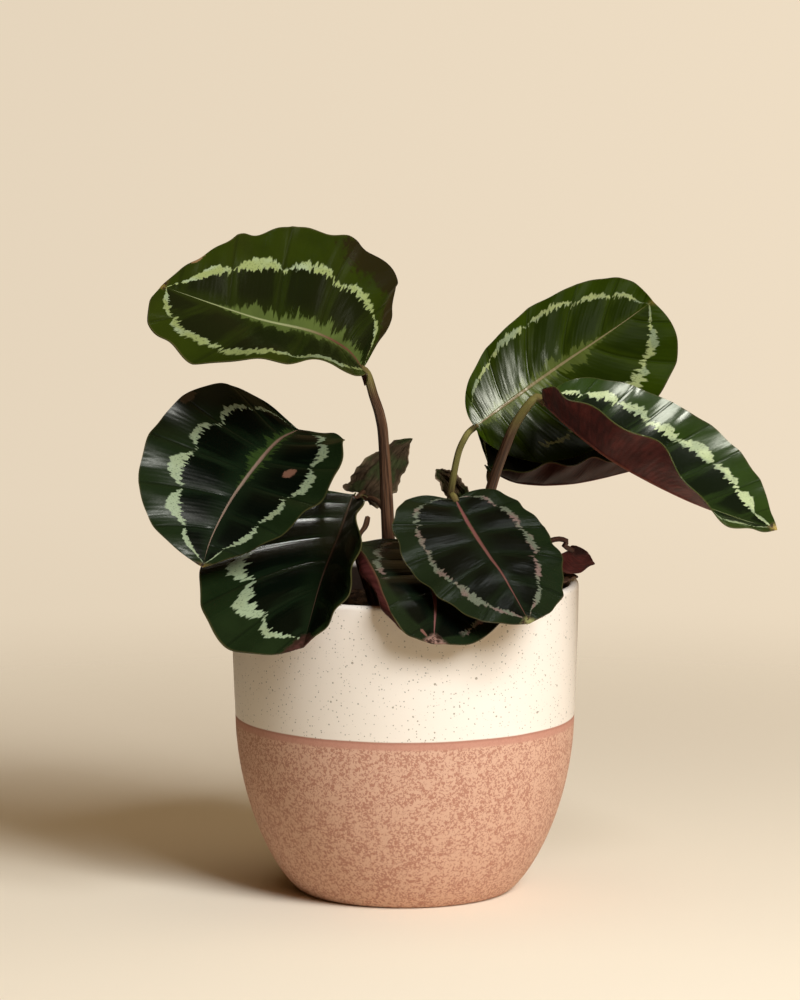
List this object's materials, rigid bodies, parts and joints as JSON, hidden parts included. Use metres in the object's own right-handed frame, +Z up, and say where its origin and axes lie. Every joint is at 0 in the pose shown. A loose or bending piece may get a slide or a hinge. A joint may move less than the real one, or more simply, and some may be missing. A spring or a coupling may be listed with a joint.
{
  "type": "potted calathea",
  "caption": "Potted calathea: broad round leaves with a pale feathered ring on brown stalks, in a round-bottomed ceramic pot with a speckled glazed top.",
  "frame": {"origin": "centre of the pot's flat underside", "axes": "+Z up, +X to the right and -Y to the front, towards the camera"},
  "size_m": [0.2705, 0.1722, 0.2909],
  "materials": {
    "pot_ceramic": "glossy speckled cream glaze above a matt mottled terracotta body",
    "soil": "matt dark potting mix",
    "light_leaf": "satin, bright green with a pale ring",
    "dark_leaf": "satin, dark green with a pale ring, maroon below",
    "withered_leaf": "dry, brown",
    "maroon_leaf": "matt maroon",
    "stalk": "satin brown, olive near the blade"
  },
  "bodies": {
    "root": {"pot": "pot_ceramic", "potting_soil": "soil", "blade_upper_left": "light_leaf", "blade_upper_right": "light_leaf", "blade_mid_left": "dark_leaf", "blade_lower_left": "dark_leaf", "blade_front_centre": "dark_leaf", "blade_front_low": "dark_leaf", "blade_right_rolled": "dark_leaf", "blade_right_under": "dark_leaf", "withered_back": "withered_leaf", "withered_centre": "withered_leaf", "withered_right": "maroon_leaf", "withered_rim": "withered_leaf", "stalk_upper_left": "stalk", "stalk_upper_right": "stalk", "stalk_mid_left": "stalk", "stalk_lower_left": "stalk", "stalk_front_centre": "stalk", "stalk_front_low": "stalk", "stalk_right_rolled": "stalk", "stalk_right_under": "stalk", "stalk_withered_centre": "stalk", "stalk_withered_right": "stalk", "stalk_withered_rim": "stalk", "dry_stub": "stalk"}
  },
  "joints": []
}
